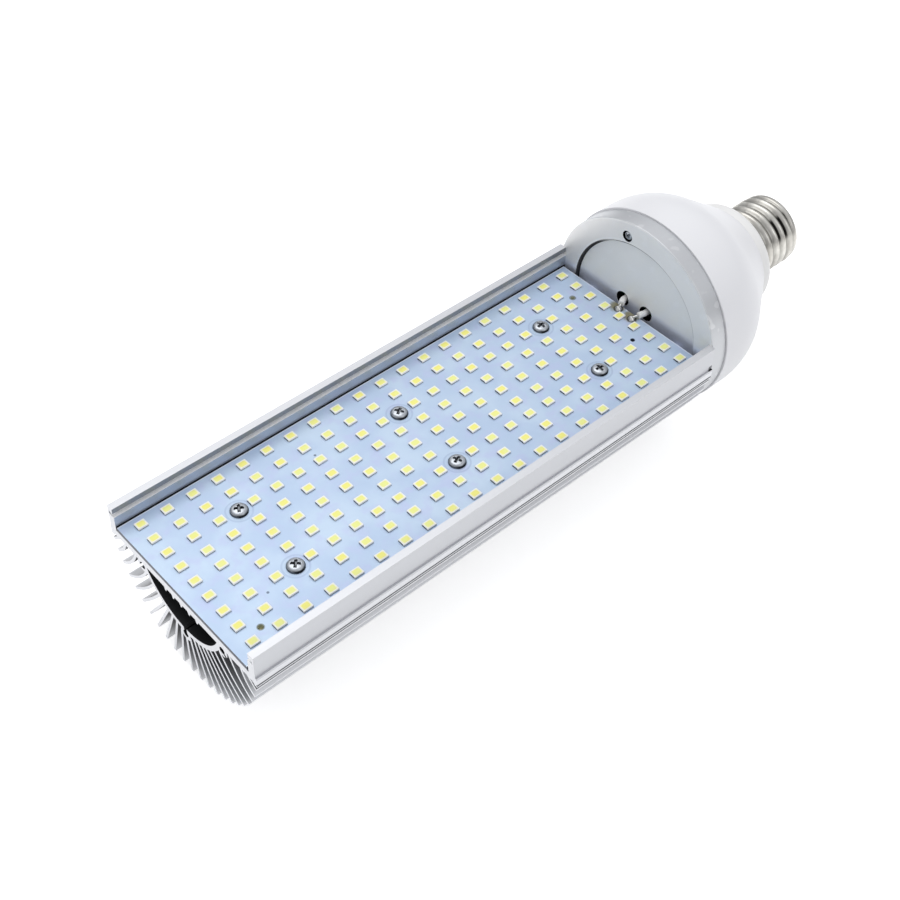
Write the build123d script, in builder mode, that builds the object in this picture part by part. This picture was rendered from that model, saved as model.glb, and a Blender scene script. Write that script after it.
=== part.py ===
from build123d import *
import math
import os

os.makedirs("parts", exist_ok=True)

# One-sided LED retrofit lamp with an E27 screw base, in millimetres.
# +X runs along the lamp towards the screw base, +Z is the light side, +Y is left.
# The origin is on the lamp's axis, where the screw shell leaves the neck collar.

# overall sizes: the heat sink's length, the housing's radius and the collar's length
SINK_LEN = 184.6
HOUSING_R = 35.7
COLLAR_LEN = 5.6

# finned heat sink, an aluminium extrusion
CAP_FACE_X = -50.2
PLATE_TOP = -0.65
PLATE_T = 2.8
RAIL_PROUD = 0.1
RAIL_TOP = 8.2
RAIL_FOOT = 1.05
RAIL_FOOT_T = 1.1
RAIL_ROOT_T = 2.0
RAIL_T = 3.4
LIP_T = 3.0
GROOVE_T = 1.0
GROOVE_LOW = 4.9
GROOVE_HIGH = 6.3
BEAD_T = 0.5
BEAD_TOP = -1.5
BEAD_H = 1.9
NOTCH_H = 0.7
CAVITY_Z = 4.26
CAVITY_R = 18.9
CAVITY_WALL = 1.8
CAVITY_RIBS = 5
CAVITY_RIB_PITCH = 3.87
CAVITY_RIB_H = 1.3
CAVITY_RIB_T = 1.5
FIN_T = 1.0
FIN_PITCH_DEG = 7.2
# fins on one side: those that hang from the plate, each by its distance in from the rail's
# outside and its bow, then those on the tunnel, by degrees from straight down and bow
PLATE_FINS = ((4.6, 0.3), (7.5, 1.2), (13.0, 1.4))
TUNNEL_FINS = ((61.7, 1.5), (48.4, 0.8), (38.4, 0.4), (30.75, 0.1), (24.4, 0.05), (18.06, 0.05),
               (11.9, 0.05))
PORT_FIN_BOW = 0.05
PORT_OUT = 0.85
PORT_R = 1.25
PORT_WALL = 1.2
SIDE_PORT_DEG = 24.4
LOW_SLIT_W = 1.5
SIDE_SLIT_W = 1.0

# LED board
BOARD_SHORT = 1.3
BOARD_PLAY = 1.2
BOARD_T = 1.6
LED_COLS = 20
LED_ROWS = 9
LED_END_FAR = 6.0
LED_END_NEAR = 4.59
LED_EDGE_LEFT = 3.71
LED_EDGE_RIGHT = 5.41
LED_L = 3.5
LED_W = 2.8
LED_H = 0.7
PHOSPHOR_L = 2.5
PHOSPHOR_W = 1.9
PHOSPHOR_H = 0.06
# two rows give way to the screws, with their LEDs and screws at these column pitches
SCREW_ROWS = (2, 6)
SCREW_ROW_STEPS = (0, 1, 2, 3.36, 4.29, 5.2, 6.1, 7.0, 7.91, 8.81,
                   10.24, 11.14, 12.04, 12.94, 13.84, 14.73, 15.62, 16.98, 18, 19)
SCREW_STEPS = (2.728, 9.527, 16.37)
SCREW_DROP = 0.4
M3_R = 1.45
M3_PLAY = 0.15
M3_HEAD_R = 2.85
M3_HEAD_H = 1.9
M3_LEN = 6.0
M3_CROSS_L = 3.0
M3_CROSS_W = 0.6
M3_CROSS_H = 1.1
# small holes in the board: column pitches, row pitches and radius
BOARD_HOLES = ((0.506, 7.605, 0.9), (18.45, 1.5, 0.7), (18.45, 5.61, 0.8))

# end cap
CAP_INSET = 0.6
CAP_EDGE = 0.4
CAP_T = 3.0
CAP_DEPTH = 6.45
CAP_WALL = 1.7
CAP_RIM = 8.3
RECESS_T = 1.0
PORT_PAD_R = 3.0
LEAD_HOLE_R = 2.7
LEAD_HOLE_UP = 1.15
LEAD_HOLE_Y = (5.85, -4.75)
CAP_SCREW_IN = 3.7
CAP_SCREW_DEG = (77, 197, 317)
TAP_R = 1.15
TAP_HEAD_R = 1.8
TAP_HEAD_H = 1.5
TAP_LEN = 9.5
TAP_SINK = 0.1
TAP_PLAY = 0.2
TAP_CROSS_L = 2.2
TAP_CROSS_W = 0.5
TAP_CROSS_H = 0.8

# driver housing and neck collar
SEAM_GAP = 0.15
HOUSING_STRAIGHT = 7.85
BULGE_R = 25.0
NECK_STEP = 0.4
NECK_BORE_R = 16.0
NECK_END_T = 0.6
WALL_T = 2.2
SPIGOT_PLAY = 0.1
SPIGOT_T = 1.6
SPIGOT_STEP = 1.5
BOSS_R = 4.0
BOSS_FLOOR = 2.9
TAP_ROOM = 1.0
COLLAR_R = 19.7
COLLAR_FILLET = 3.0
COLLAR_SPIGOT = 3.5
COLLAR_NOSE = 9.0
COLLAR_NOSE_T = 1.9

# E27 screw base
SHELL_R = 13.1
THREAD_H = 0.95
SHELL_T = 0.4
SHELL_BAND = 2.4
SHELL_PITCH = 3.629
SHELL_CRESTS = 5
SHELL_TAPER = 1.15
SHELL_TURN_IN = 2.2
INSULATOR_SEAT = 3.6
INSULATOR_RISE = 2.6
CONTACT_RISE = 4.8
CONTACT_R = 4.8
CONTACT_T = 1.6
CONTACT_EDGE = 0.7
STEM_R = 1.1

# driver board and leads
CARD_GAP = 6.7
CARD_W = 42.0
CARD_T = 1.6
CARD_TOP = -5.2
CARD_CORNER = 2.83
CARD_CLEAR = 2.5
GUIDE_H = 4.6
GUIDE_GRIP = 1.5
GUIDE_STOP = 2.0
LEAD_R = 0.9
LED_LEAD_R = 1.1
WIRE_R = 0.45
SOLDER_R = 1.45
FIT = 0.05

# where the pieces meet
SINK_X0 = CAP_FACE_X - SINK_LEN
PLATE_LOW = PLATE_TOP - PLATE_T
RAIL_OUT = HOUSING_R + RAIL_PROUD
WALL_IN = RAIL_OUT - RAIL_T
CAP_R = HOUSING_R - CAP_INSET
RECESS_R = CAP_R - CAP_RIM
SPIGOT_R = CAP_R - CAP_WALL - SPIGOT_PLAY
CAP_SCREW_R = SPIGOT_R - CAP_SCREW_IN
TAP_SEAT_X = CAP_FACE_X + TAP_HEAD_H + TAP_SINK
INNER_X = CAP_FACE_X + CAP_T
HOUSING_X = CAP_FACE_X + CAP_DEPTH + SEAM_GAP
NECK_X = -COLLAR_LEN

# screw ports on the tunnel's wall, as (y, z)
PORT_REACH = CAVITY_R + CAVITY_WALL + PORT_OUT
SIDE_PORT_Y = PORT_REACH * math.cos(math.radians(SIDE_PORT_DEG))
SIDE_PORT_Z = CAVITY_Z - PORT_REACH * math.sin(math.radians(SIDE_PORT_DEG))
LOW_PORT_Z = CAVITY_Z - PORT_REACH
PORTS = ((SIDE_PORT_Y, SIDE_PORT_Z), (-SIDE_PORT_Y, SIDE_PORT_Z), (0, LOW_PORT_Z))

# each fin on one side: root y, root z and how far it bows
FIN_ROOT_R = CAVITY_R + CAVITY_WALL / 2
FIN_ROOTS = [(RAIL_OUT - inset, PLATE_LOW + 0.3 * PLATE_T, bow) for inset, bow in PLATE_FINS]
for degrees, fin_bow in TUNNEL_FINS:
    lean = math.radians(degrees)
    FIN_ROOTS.append((FIN_ROOT_R * math.sin(lean), CAVITY_Z - FIN_ROOT_R * math.cos(lean), fin_bow))
FIN_ROOTS.append((PORT_R + 0.7 * PORT_WALL, LOW_PORT_Z, PORT_FIN_BOW))

# the LED board lies between the rails, with its LEDs spread evenly between its margins
BOARD_TOP = PLATE_TOP + BOARD_T
BOARD_LEN = SINK_LEN - BOARD_SHORT
BOARD_W = 2 * WALL_IN - BOARD_PLAY
BOARD_END_X = SINK_X0 + BOARD_LEN
LED_PITCH_X = (BOARD_LEN - LED_END_FAR - LED_END_NEAR) / (LED_COLS - 1)
LED_PITCH_Y = (BOARD_W - LED_EDGE_LEFT - LED_EDGE_RIGHT) / (LED_ROWS - 1)
LED_X0 = SINK_X0 + LED_END_FAR
LED_Y0 = BOARD_W / 2 - LED_EDGE_LEFT
SCREW_SPOTS = [
    (LED_X0 + LED_PITCH_X * step, LED_Y0 - LED_PITCH_Y * row - SCREW_DROP)
    for step in SCREW_STEPS for row in SCREW_ROWS
]

# The heat sink's section: a plate with a rail along each edge, a half-round tunnel under it,
# three open screw ports, and fins that fan out from the tunnel's wall and the plate.
with BuildSketch() as fin_fan:
    for side in (1, -1):
        for place, (root_y, root_z, bow) in enumerate(FIN_ROOTS):
            angle = math.radians(FIN_PITCH_DEG * (len(FIN_ROOTS) - place) - 90)
            tip_y = (HOUSING_R + 1) * math.cos(angle)
            tip_z = (HOUSING_R + 1) * math.sin(angle)
            chord = math.hypot(tip_y - root_y, tip_z - root_z)
            mid_y = (root_y + tip_y) / 2 + bow * (tip_z - root_z) / chord
            mid_z = (root_z + tip_z) / 2 - bow * (tip_y - root_y) / chord
            with BuildLine():
                ThreePointArc((side * root_y, root_z), (side * mid_y, mid_z), (side * tip_y, tip_z))
            trace(line_width=FIN_T)
    with BuildLine():
        Line((0, LOW_PORT_Z - PORT_R - PORT_WALL / 2), (0, -HOUSING_R - 1))
    trace(line_width=FIN_T)
    Circle(HOUSING_R, mode=Mode.INTERSECT)

with BuildSketch() as tunnel_wall:
    with Locations((0, CAVITY_Z)):
        Circle(CAVITY_R + CAVITY_WALL)
    with Locations(PORTS):
        Circle(PORT_R + PORT_WALL)
    with Locations((0, PLATE_TOP)):
        Rectangle(3 * RAIL_OUT, RAIL_OUT, align=(Align.CENTER, Align.MIN), mode=Mode.SUBTRACT)

# the tunnel itself, with short cooling ribs hanging from its roof
with BuildSketch() as tunnel:
    with Locations((0, CAVITY_Z)):
        Circle(CAVITY_R)
    with Locations((0, PLATE_LOW)):
        Rectangle(3 * RAIL_OUT, RAIL_OUT, align=(Align.CENTER, Align.MIN), mode=Mode.SUBTRACT)
    with Locations((0, PLATE_LOW - CAVITY_RIB_H / 2)):
        with GridLocations(CAVITY_RIB_PITCH, 1, CAVITY_RIBS, 1):
            Trapezoid(CAVITY_RIB_T, CAVITY_RIB_H, 70, rotation=180, mode=Mode.SUBTRACT)

with BuildSketch() as sink_section:
    add(fin_fan.sketch)
    add(tunnel_wall.sketch)
    with Locations((0, PLATE_LOW)):
        Rectangle(2 * RAIL_OUT, PLATE_T, align=(Align.CENTER, Align.MIN))
    for side in (1, -1):
        with BuildLine():
            Polyline(
                (side * WALL_IN, PLATE_LOW),
                (side * WALL_IN, GROOVE_LOW),
                (side * (RAIL_OUT - GROOVE_T), GROOVE_LOW),
                (side * (RAIL_OUT - GROOVE_T), GROOVE_HIGH),
                (side * (RAIL_OUT - LIP_T), GROOVE_HIGH),
                (side * (RAIL_OUT - LIP_T), RAIL_TOP),
                (side * (RAIL_OUT - BEAD_T), RAIL_TOP),
                (side * (RAIL_OUT - BEAD_T), BEAD_TOP),
                (side * RAIL_OUT, BEAD_TOP - 1.6 * BEAD_T),
                (side * RAIL_OUT, BEAD_TOP - BEAD_H),
                (side * (RAIL_OUT - BEAD_T), BEAD_TOP - BEAD_H - NOTCH_H / 2),
                (side * RAIL_OUT, BEAD_TOP - BEAD_H - NOTCH_H),
                (side * RAIL_OUT, PLATE_LOW - RAIL_FOOT),
                (side * (RAIL_OUT - RAIL_FOOT_T), PLATE_LOW - RAIL_FOOT),
                (side * (RAIL_OUT - RAIL_ROOT_T), PLATE_LOW),
                close=True,
            )
        make_face()
    add(tunnel.sketch, mode=Mode.SUBTRACT)
    # screw ports: round channels that are open on one side
    with Locations(PORTS):
        Circle(PORT_R, mode=Mode.SUBTRACT)
    with Locations((0, LOW_PORT_Z)):
        Rectangle(
            LOW_SLIT_W, CAVITY_WALL + 2 * PORT_OUT + 0.5,
            align=(Align.CENTER, Align.MIN), mode=Mode.SUBTRACT,
        )
    slit = PORT_R + PORT_WALL
    for side in (1, -1):
        with BuildLine():
            Line((side * SIDE_PORT_Y, SIDE_PORT_Z), (side * (SIDE_PORT_Y + slit), SIDE_PORT_Z - slit))
        trace(line_width=SIDE_SLIT_W, mode=Mode.SUBTRACT)

with BuildPart() as heat_sink:
    with BuildSketch(Plane.YZ.offset(SINK_X0)):
        add(sink_section.sketch)
    extrude(amount=SINK_LEN)
    # tapped holes for the board's screws
    with BuildSketch(Plane.XY.offset(PLATE_TOP)):
        with Locations(SCREW_SPOTS):
            Circle(M3_R + FIT)
    extrude(amount=-(M3_LEN - BOARD_T + 0.3), mode=Mode.SUBTRACT)
heat_sink.part.label = "heat_sink"

with BuildPart() as led_board:
    with BuildSketch(Plane.XY.offset(PLATE_TOP)):
        with Locations((SINK_X0, 0)):
            Rectangle(BOARD_LEN, BOARD_W, align=(Align.MIN, Align.CENTER))
        with Locations(SCREW_SPOTS):
            Circle(M3_R + M3_PLAY, mode=Mode.SUBTRACT)
        for column, line, hole_r in BOARD_HOLES:
            with Locations((LED_X0 + LED_PITCH_X * column, LED_Y0 - LED_PITCH_Y * line)):
                Circle(hole_r, mode=Mode.SUBTRACT)
    extrude(amount=BOARD_T)
led_board.part.label = "led_board"

LED_SPOTS = []
for row in range(LED_ROWS):
    for step in SCREW_ROW_STEPS if row in SCREW_ROWS else range(LED_COLS):
        LED_SPOTS.append((LED_X0 + LED_PITCH_X * step, LED_Y0 - LED_PITCH_Y * row))

with BuildPart() as led_packages:
    with BuildSketch(Plane.XY.offset(BOARD_TOP)):
        with Locations(LED_SPOTS):
            Rectangle(LED_L, LED_W)
    extrude(amount=LED_H)
led_packages.part.label = "led_packages"

with BuildPart() as led_phosphors:
    with BuildSketch(Plane.XY.offset(BOARD_TOP + LED_H)):
        with Locations(LED_SPOTS):
            Rectangle(PHOSPHOR_L, PHOSPHOR_W)
    extrude(amount=PHOSPHOR_H)
led_phosphors.part.label = "led_phosphors"

# pan-head cross-recess screws that hold the board
with BuildPart() as board_screws:
    with BuildSketch(Plane.XY.offset(BOARD_TOP)):
        with Locations(SCREW_SPOTS):
            Circle(M3_HEAD_R)
    extrude(amount=M3_HEAD_H)
    rims = board_screws.edges().filter_by(GeomType.CIRCLE).group_by(Axis.Z)[-1]
    fillet(rims, radius=0.53 * M3_HEAD_H)
    with BuildSketch(Plane.XY.offset(BOARD_TOP + M3_HEAD_H)):
        with Locations(SCREW_SPOTS):
            Rectangle(M3_CROSS_L, M3_CROSS_W)
            Rectangle(M3_CROSS_W, M3_CROSS_L)
    extrude(amount=-M3_CROSS_H, mode=Mode.SUBTRACT)
    with BuildSketch(Plane.XY.offset(BOARD_TOP)):
        with Locations(SCREW_SPOTS):
            Circle(M3_R)
    extrude(amount=-M3_LEN)
board_screws.part.label = "board_screws"

CAP_SCREW_SPOTS = [
    (CAP_SCREW_R * math.cos(math.radians(a)), CAP_SCREW_R * math.sin(math.radians(a)))
    for a in CAP_SCREW_DEG
]
LEAD_SPOTS = [(y, BOARD_TOP + LEAD_HOLE_UP) for y in LEAD_HOLE_Y]

# aluminium cup between the heat sink and the driver housing, with a sunk centre
with BuildPart() as end_cap:
    with BuildSketch(Plane.XZ):
        with BuildLine():
            Polyline(
                (CAP_FACE_X + RECESS_T, 0),
                (CAP_FACE_X + RECESS_T, RECESS_R),
                (CAP_FACE_X, RECESS_R),
                (CAP_FACE_X, CAP_R),
                (CAP_FACE_X + CAP_DEPTH, CAP_R),
                (CAP_FACE_X + CAP_DEPTH, CAP_R - CAP_WALL),
                (CAP_FACE_X + CAP_T, CAP_R - CAP_WALL),
                (CAP_FACE_X + CAP_T, 0),
                close=True,
            )
        make_face()
    revolve(axis=Axis.X)
    edge = end_cap.edges().filter_by(GeomType.CIRCLE).group_by(Axis.X)[0].sort_by(SortBy.RADIUS)[-1]
    fillet(edge, radius=CAP_EDGE)
    # pads in the sunk centre that meet the heat sink at its screw ports
    with BuildSketch(Plane.YZ.offset(CAP_FACE_X)):
        with Locations(PORTS):
            Circle(PORT_PAD_R)
    extrude(amount=RECESS_T)
    with BuildSketch(Plane.YZ.offset(CAP_FACE_X)):
        with Locations(PORTS):
            Circle(TAP_R + TAP_PLAY)
        with Locations(LEAD_SPOTS):
            Circle(LEAD_HOLE_R)
        with Locations(CAP_SCREW_SPOTS):
            Circle(TAP_R + TAP_PLAY)
    extrude(amount=CAP_T, mode=Mode.SUBTRACT)
    with BuildSketch(Plane.YZ.offset(CAP_FACE_X)):
        with Locations(CAP_SCREW_SPOTS):
            Circle(TAP_HEAD_R + TAP_PLAY)
    extrude(amount=TAP_SEAT_X - CAP_FACE_X, mode=Mode.SUBTRACT)
end_cap.part.label = "end_cap"


def pan_screws(spots, seat_x, length):
    """Self-tapping pan-head screws along X: heads before seat_x when length is positive."""
    way = 1 if length > 0 else -1
    with BuildPart() as screws:
        with BuildSketch(Plane.YZ.offset(seat_x)):
            with Locations(spots):
                Circle(TAP_HEAD_R)
        extrude(amount=-way * TAP_HEAD_H)
        rims = screws.edges().filter_by(GeomType.CIRCLE).group_by(Axis.X)[0 if way > 0 else -1]
        fillet(rims, radius=0.4 * TAP_HEAD_H)
        with BuildSketch(Plane.YZ.offset(seat_x - way * TAP_HEAD_H)):
            with Locations(spots):
                Rectangle(TAP_CROSS_L, TAP_CROSS_W)
                Rectangle(TAP_CROSS_W, TAP_CROSS_L)
        extrude(amount=way * TAP_CROSS_H, mode=Mode.SUBTRACT)
        with BuildSketch(Plane.YZ.offset(seat_x)):
            with Locations(spots):
                Circle(TAP_R)
        extrude(amount=length)
    return screws


# screws from the lamp's front that hold the cap to the housing
cap_screws = pan_screws(CAP_SCREW_SPOTS, TAP_SEAT_X, TAP_LEN)
cap_screws.part.label = "cap_screws"

# screws from inside the cap into the heat sink's ports
sink_screws = pan_screws(PORTS, INNER_X, -TAP_LEN)
sink_screws.part.label = "sink_screws"

# The housing's outline: a straight skirt, a round bulge, and a cone whose slope is the one
# that leaves the bulge without a corner and reaches the neck.
BULGE_X = HOUSING_X + HOUSING_STRAIGHT
NECK_R = COLLAR_R + NECK_STEP
run = NECK_X - BULGE_X
rise = BULGE_R - (HOUSING_R - NECK_R)
slope = math.atan2(run, rise) - math.acos(BULGE_R / math.hypot(run, rise))


def on_bulge(angle, inset=0.0):
    """The point (x, radius) on the bulge at this angle from its top, less a wall."""
    return (
        BULGE_X + (BULGE_R - inset) * math.sin(angle),
        HOUSING_R - BULGE_R + (BULGE_R - inset) * math.cos(angle),
    )


def cone_inside_x(radius):
    """Where along X the inside of the cone has this radius."""
    x, at_x = on_bulge(slope, WALL_T)
    return x + (at_x - radius) / math.tan(slope)


INNER_NECK_X = NECK_X - WALL_T - NECK_END_T
INNER_NECK_R = NECK_R + (NECK_X - INNER_NECK_X) * math.tan(slope) - WALL_T / math.cos(slope)
BOSS_HOLE_X = TAP_SEAT_X + TAP_LEN + TAP_ROOM

# the driver board ends where its corners come near the cone
CARD_X0 = INNER_X + CARD_GAP
CARD_X1 = cone_inside_x(math.hypot(CARD_W / 2, CARD_TOP - CARD_T) + CARD_CLEAR) + CARD_CORNER

# the hollow of the driver housing, less the bosses, card guides and stops that stand in it
with BuildPart() as hollow:
    with BuildSketch(Plane.XZ):
        with BuildLine():
            Polyline(
                (BULGE_X, HOUSING_R - WALL_T),
                (HOUSING_X + SPIGOT_STEP, HOUSING_R - WALL_T),
                (HOUSING_X + SPIGOT_STEP, SPIGOT_R - SPIGOT_T),
                (INNER_X - 1, SPIGOT_R - SPIGOT_T),
                (INNER_X - 1, 0),
                (NECK_X + 1, 0),
                (NECK_X + 1, NECK_BORE_R),
                (INNER_NECK_X, NECK_BORE_R),
                (INNER_NECK_X, INNER_NECK_R),
                on_bulge(slope, WALL_T),
            )
            ThreePointArc(
                on_bulge(slope, WALL_T), on_bulge(slope / 2, WALL_T), (BULGE_X, HOUSING_R - WALL_T)
            )
        make_face()
    revolve(axis=Axis.X)
    with BuildSketch(Plane.YZ.offset(INNER_X - 1)):
        with Locations(CAP_SCREW_SPOTS):
            Circle(BOSS_R)
    extrude(amount=BOSS_HOLE_X + BOSS_FLOOR - INNER_X + 1, mode=Mode.SUBTRACT)
    # guides along both edges of the driver board, with a stop at the far end
    for side in (1, -1):
        outward = Align.MIN if side > 0 else Align.MAX
        inward = Align.MAX if side > 0 else Align.MIN
        with Locations((CARD_X0 + 1.5, side * (CARD_W / 2 - GUIDE_GRIP), CARD_TOP - CARD_T / 2)):
            Box(
                CARD_X1 + GUIDE_STOP - CARD_X0 - 1.5, HOUSING_R, GUIDE_H,
                align=(Align.MIN, outward, Align.CENTER), mode=Mode.SUBTRACT,
            )
        with Locations((CARD_X0, side * (CARD_W / 2 + FIT), CARD_TOP - CARD_T / 2)):
            Box(
                CARD_X1 - CARD_X0, 4 * GUIDE_GRIP, CARD_T + 2 * FIT,
                align=(Align.MIN, inward, Align.CENTER),
            )

with BuildPart() as driver_housing:
    with BuildSketch(Plane.XZ):
        with BuildLine():
            Polyline(
                (BULGE_X, HOUSING_R),
                (HOUSING_X, HOUSING_R),
                (HOUSING_X, SPIGOT_R),
                (INNER_X, SPIGOT_R),
                (INNER_X, 0),
                (NECK_X, 0),
                (NECK_X, NECK_R),
                on_bulge(slope),
            )
            ThreePointArc(on_bulge(slope), on_bulge(slope / 2), (BULGE_X, HOUSING_R))
        make_face()
    revolve(axis=Axis.X)
    add(hollow.part, mode=Mode.SUBTRACT)
    with BuildSketch(Plane.YZ.offset(INNER_X)):
        with Locations(CAP_SCREW_SPOTS):
            Circle(TAP_R + 2 * FIT)
    extrude(amount=BOSS_HOLE_X - INNER_X, mode=Mode.SUBTRACT)
driver_housing.part.label = "driver_housing"

# collar between the housing's neck and the screw shell, with a spigot each way
SHELL_ROOT_R = SHELL_R - THREAD_H
NOSE_R = SHELL_ROOT_R - SHELL_T - FIT
COLLAR_BORE_R = NOSE_R - COLLAR_NOSE_T
with BuildPart() as neck_collar:
    with BuildSketch(Plane.XZ):
        with BuildLine():
            Polyline(
                (NECK_X, COLLAR_R),
                (0, COLLAR_R),
                (0, NOSE_R),
                (COLLAR_NOSE, NOSE_R),
                (COLLAR_NOSE, COLLAR_BORE_R),
                (NECK_X - COLLAR_SPIGOT, COLLAR_BORE_R),
                (NECK_X - COLLAR_SPIGOT, NECK_BORE_R - 2 * FIT),
                (NECK_X, NECK_BORE_R - 2 * FIT),
                close=True,
            )
        make_face()
    revolve(axis=Axis.X)
    rounds = neck_collar.edges().filter_by(GeomType.CIRCLE).group_by(SortBy.RADIUS)[-1]
    fillet(rounds.sort_by(Axis.X)[-1], radius=COLLAR_FILLET)
neck_collar.part.label = "neck_collar"

# nickel-plated screw shell: a plain band, rounded threads and a turned-in end
MEAN_R = (SHELL_R + SHELL_ROOT_R) / 2
QUARTER = SHELL_PITCH / 4
THREAD_X0 = SHELL_BAND + QUARTER
THREAD_X1 = THREAD_X0 + SHELL_PITCH * SHELL_CRESTS
SHELL_END = THREAD_X1 + SHELL_TAPER
SHELL_END_R = SHELL_R - SHELL_TURN_IN
CONTACT_X = SHELL_END + CONTACT_RISE


def wave(drop):
    """The thread's rounded profile, from the plain band to the turned-in end."""
    x = THREAD_X0
    for count in range(SHELL_CRESTS):
        ThreePointArc(
            (x, MEAN_R - drop), (x + QUARTER, SHELL_ROOT_R - drop), (x + 2 * QUARTER, MEAN_R - drop)
        )
        x += 2 * QUARTER
        ThreePointArc(
            (x, MEAN_R - drop), (x + QUARTER, SHELL_R - drop), (x + 2 * QUARTER, MEAN_R - drop)
        )
        x += 2 * QUARTER


with BuildPart() as screw_shell:
    with BuildSketch(Plane.XZ):
        with BuildLine():
            Line((0, SHELL_R), (SHELL_BAND, SHELL_R))
            Line((SHELL_BAND, SHELL_R), (THREAD_X0, MEAN_R))
            wave(0)
            Polyline(
                (THREAD_X1, MEAN_R),
                (SHELL_END - SHELL_T, SHELL_END_R + SHELL_T),
                (SHELL_END, SHELL_END_R),
                (SHELL_END - SHELL_T, SHELL_END_R),
                (THREAD_X1, MEAN_R - SHELL_T),
            )
            wave(SHELL_T)
            Line((THREAD_X0, MEAN_R - SHELL_T), (SHELL_BAND, SHELL_R - SHELL_T))
            Line((SHELL_BAND, SHELL_R - SHELL_T), (0, SHELL_R - SHELL_T))
            Line((0, SHELL_R - SHELL_T), (0, SHELL_R))
        make_face()
    revolve(axis=Axis.X)
screw_shell.part.label = "screw_shell"

# moulded insulator that closes the shell, with a pocket for the contact's stem
SEAT_X = SHELL_END - INSULATOR_SEAT
PLATE_X = CONTACT_X - CONTACT_T
STEM_X = SEAT_X - 0.5
with BuildPart() as base_insulator:
    with BuildSketch(Plane.XZ):
        with BuildLine():
            Polyline(
                (SEAT_X, STEM_R + 2 * FIT),
                (SEAT_X, SHELL_END_R - 0.7),
                (SHELL_END - SHELL_T / 2, SHELL_END_R - 3 * FIT),
                (SHELL_END + 0.5, SHELL_END_R - 0.6),
                (SHELL_END + INSULATOR_RISE, CONTACT_R + 1.4),
                (PLATE_X, CONTACT_R + 0.4),
                (PLATE_X, STEM_R + 2 * FIT),
                close=True,
            )
        make_face()
    revolve(axis=Axis.X)
base_insulator.part.label = "base_insulator"

with BuildPart() as centre_contact:
    with BuildSketch(Plane.XZ):
        with BuildLine():
            Polyline(
                (STEM_X, 0),
                (STEM_X, STEM_R),
                (PLATE_X, STEM_R),
                (PLATE_X, CONTACT_R),
                (CONTACT_X - CONTACT_EDGE, CONTACT_R),
                (CONTACT_X, CONTACT_R - 1.0),
                (CONTACT_X, 0),
                close=True,
            )
        make_face()
    revolve(axis=Axis.X)
centre_contact.part.label = "centre_contact"

# driver board and its components, placed from its ends and edges
ON_CARD = (Align.CENTER, Align.CENTER, Align.MIN)
with BuildPart() as driver_board:
    with Locations((CARD_X0, 0, CARD_TOP)):
        Box(CARD_X1 - CARD_X0, CARD_W, CARD_T, align=(Align.MIN, Align.CENTER, Align.MAX))
    chamfer(driver_board.edges().filter_by(Axis.Z).group_by(Axis.X)[-1], length=CARD_CORNER)
driver_board.part.label = "driver_board"

CORE_X = CARD_X1 - 11.5
BOBBIN_L = 12.0
BOBBIN_W = 16.0
BOBBIN_H = 11.0
WINDING_R = 6.2
CORE_R = 2.5
CORE_T = 3.0
CORE_L = 6.0
LEG_T = 2.8
with BuildPart() as transformer_winding:
    with Locations((CORE_X, 0, CARD_TOP)):
        Box(BOBBIN_L, BOBBIN_W, 3, align=ON_CARD)
        Cylinder(WINDING_R, BOBBIN_H - 1, align=ON_CARD)
    with Locations((CORE_X, 0, CARD_TOP + BOBBIN_H - 1)):
        Box(BOBBIN_L, BOBBIN_W, 1, align=ON_CARD)
    with Locations((CORE_X, 0, CARD_TOP)):
        Cylinder(CORE_R + 2 * FIT, BOBBIN_H, align=ON_CARD, mode=Mode.SUBTRACT)
transformer_winding.part.label = "transformer_winding"

with BuildPart() as transformer_core:
    with Locations((CORE_X, 0, CARD_TOP + BOBBIN_H)):
        Box(CORE_L, BOBBIN_W + 2 * (LEG_T + 2 * FIT), CORE_T, align=ON_CARD)
        Cylinder(CORE_R, BOBBIN_H - 0.5, align=(Align.CENTER, Align.CENTER, Align.MAX))
    for side in (1, -1):
        with Locations((CORE_X, side * (BOBBIN_W / 2 + 2 * FIT), CARD_TOP)):
            Box(
                CORE_L, LEG_T, BOBBIN_H + CORE_T / 2,
                align=(Align.CENTER, Align.MIN if side > 0 else Align.MAX, Align.MIN),
            )
transformer_core.part.label = "transformer_core"


def can(side, radius, height):
    """An aluminium electrolytic capacitor that stands on the board, near its outer end."""
    with BuildPart() as part:
        with Locations((CARD_X0 + 7.0, side * (CARD_W / 2 - radius - 1.8), CARD_TOP)):
            Cylinder(radius, height, align=ON_CARD)
        fillet(part.edges().filter_by(GeomType.CIRCLE).group_by(Axis.Z)[-1], radius=0.6)
    return part


input_capacitor = can(1, 5.0, 18.0)
input_capacitor.part.label = "input_capacitor"
output_capacitor = can(-1, 5.0, 16.0)
output_capacitor.part.label = "output_capacitor"

with BuildPart() as film_capacitor:
    with Locations((CARD_X1 - 9.0, CARD_W / 2 - 5.6, CARD_TOP)):
        Box(10, 6, 9, align=ON_CARD)
    fillet(film_capacitor.edges().filter_by(Axis.Z), radius=0.6)
film_capacitor.part.label = "film_capacitor"

with BuildPart() as bridge_rectifier:
    with Locations((CARD_X1 - 2.6, 8.6, CARD_TOP)):
        Box(4.0, 4.8, 2.4, align=ON_CARD)
bridge_rectifier.part.label = "bridge_rectifier"

FUSE_R = 1.9
with BuildPart() as fuse_resistor:
    with Locations((CARD_X1 - 3.0, -9.5, CARD_TOP + FUSE_R)):
        Cylinder(FUSE_R - 0.2, 7.5, rotation=(90, 0, 0))
        Cylinder(FUSE_R, 1.4, rotation=(90, 0, 0))
fuse_resistor.part.label = "fuse_resistor"

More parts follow.
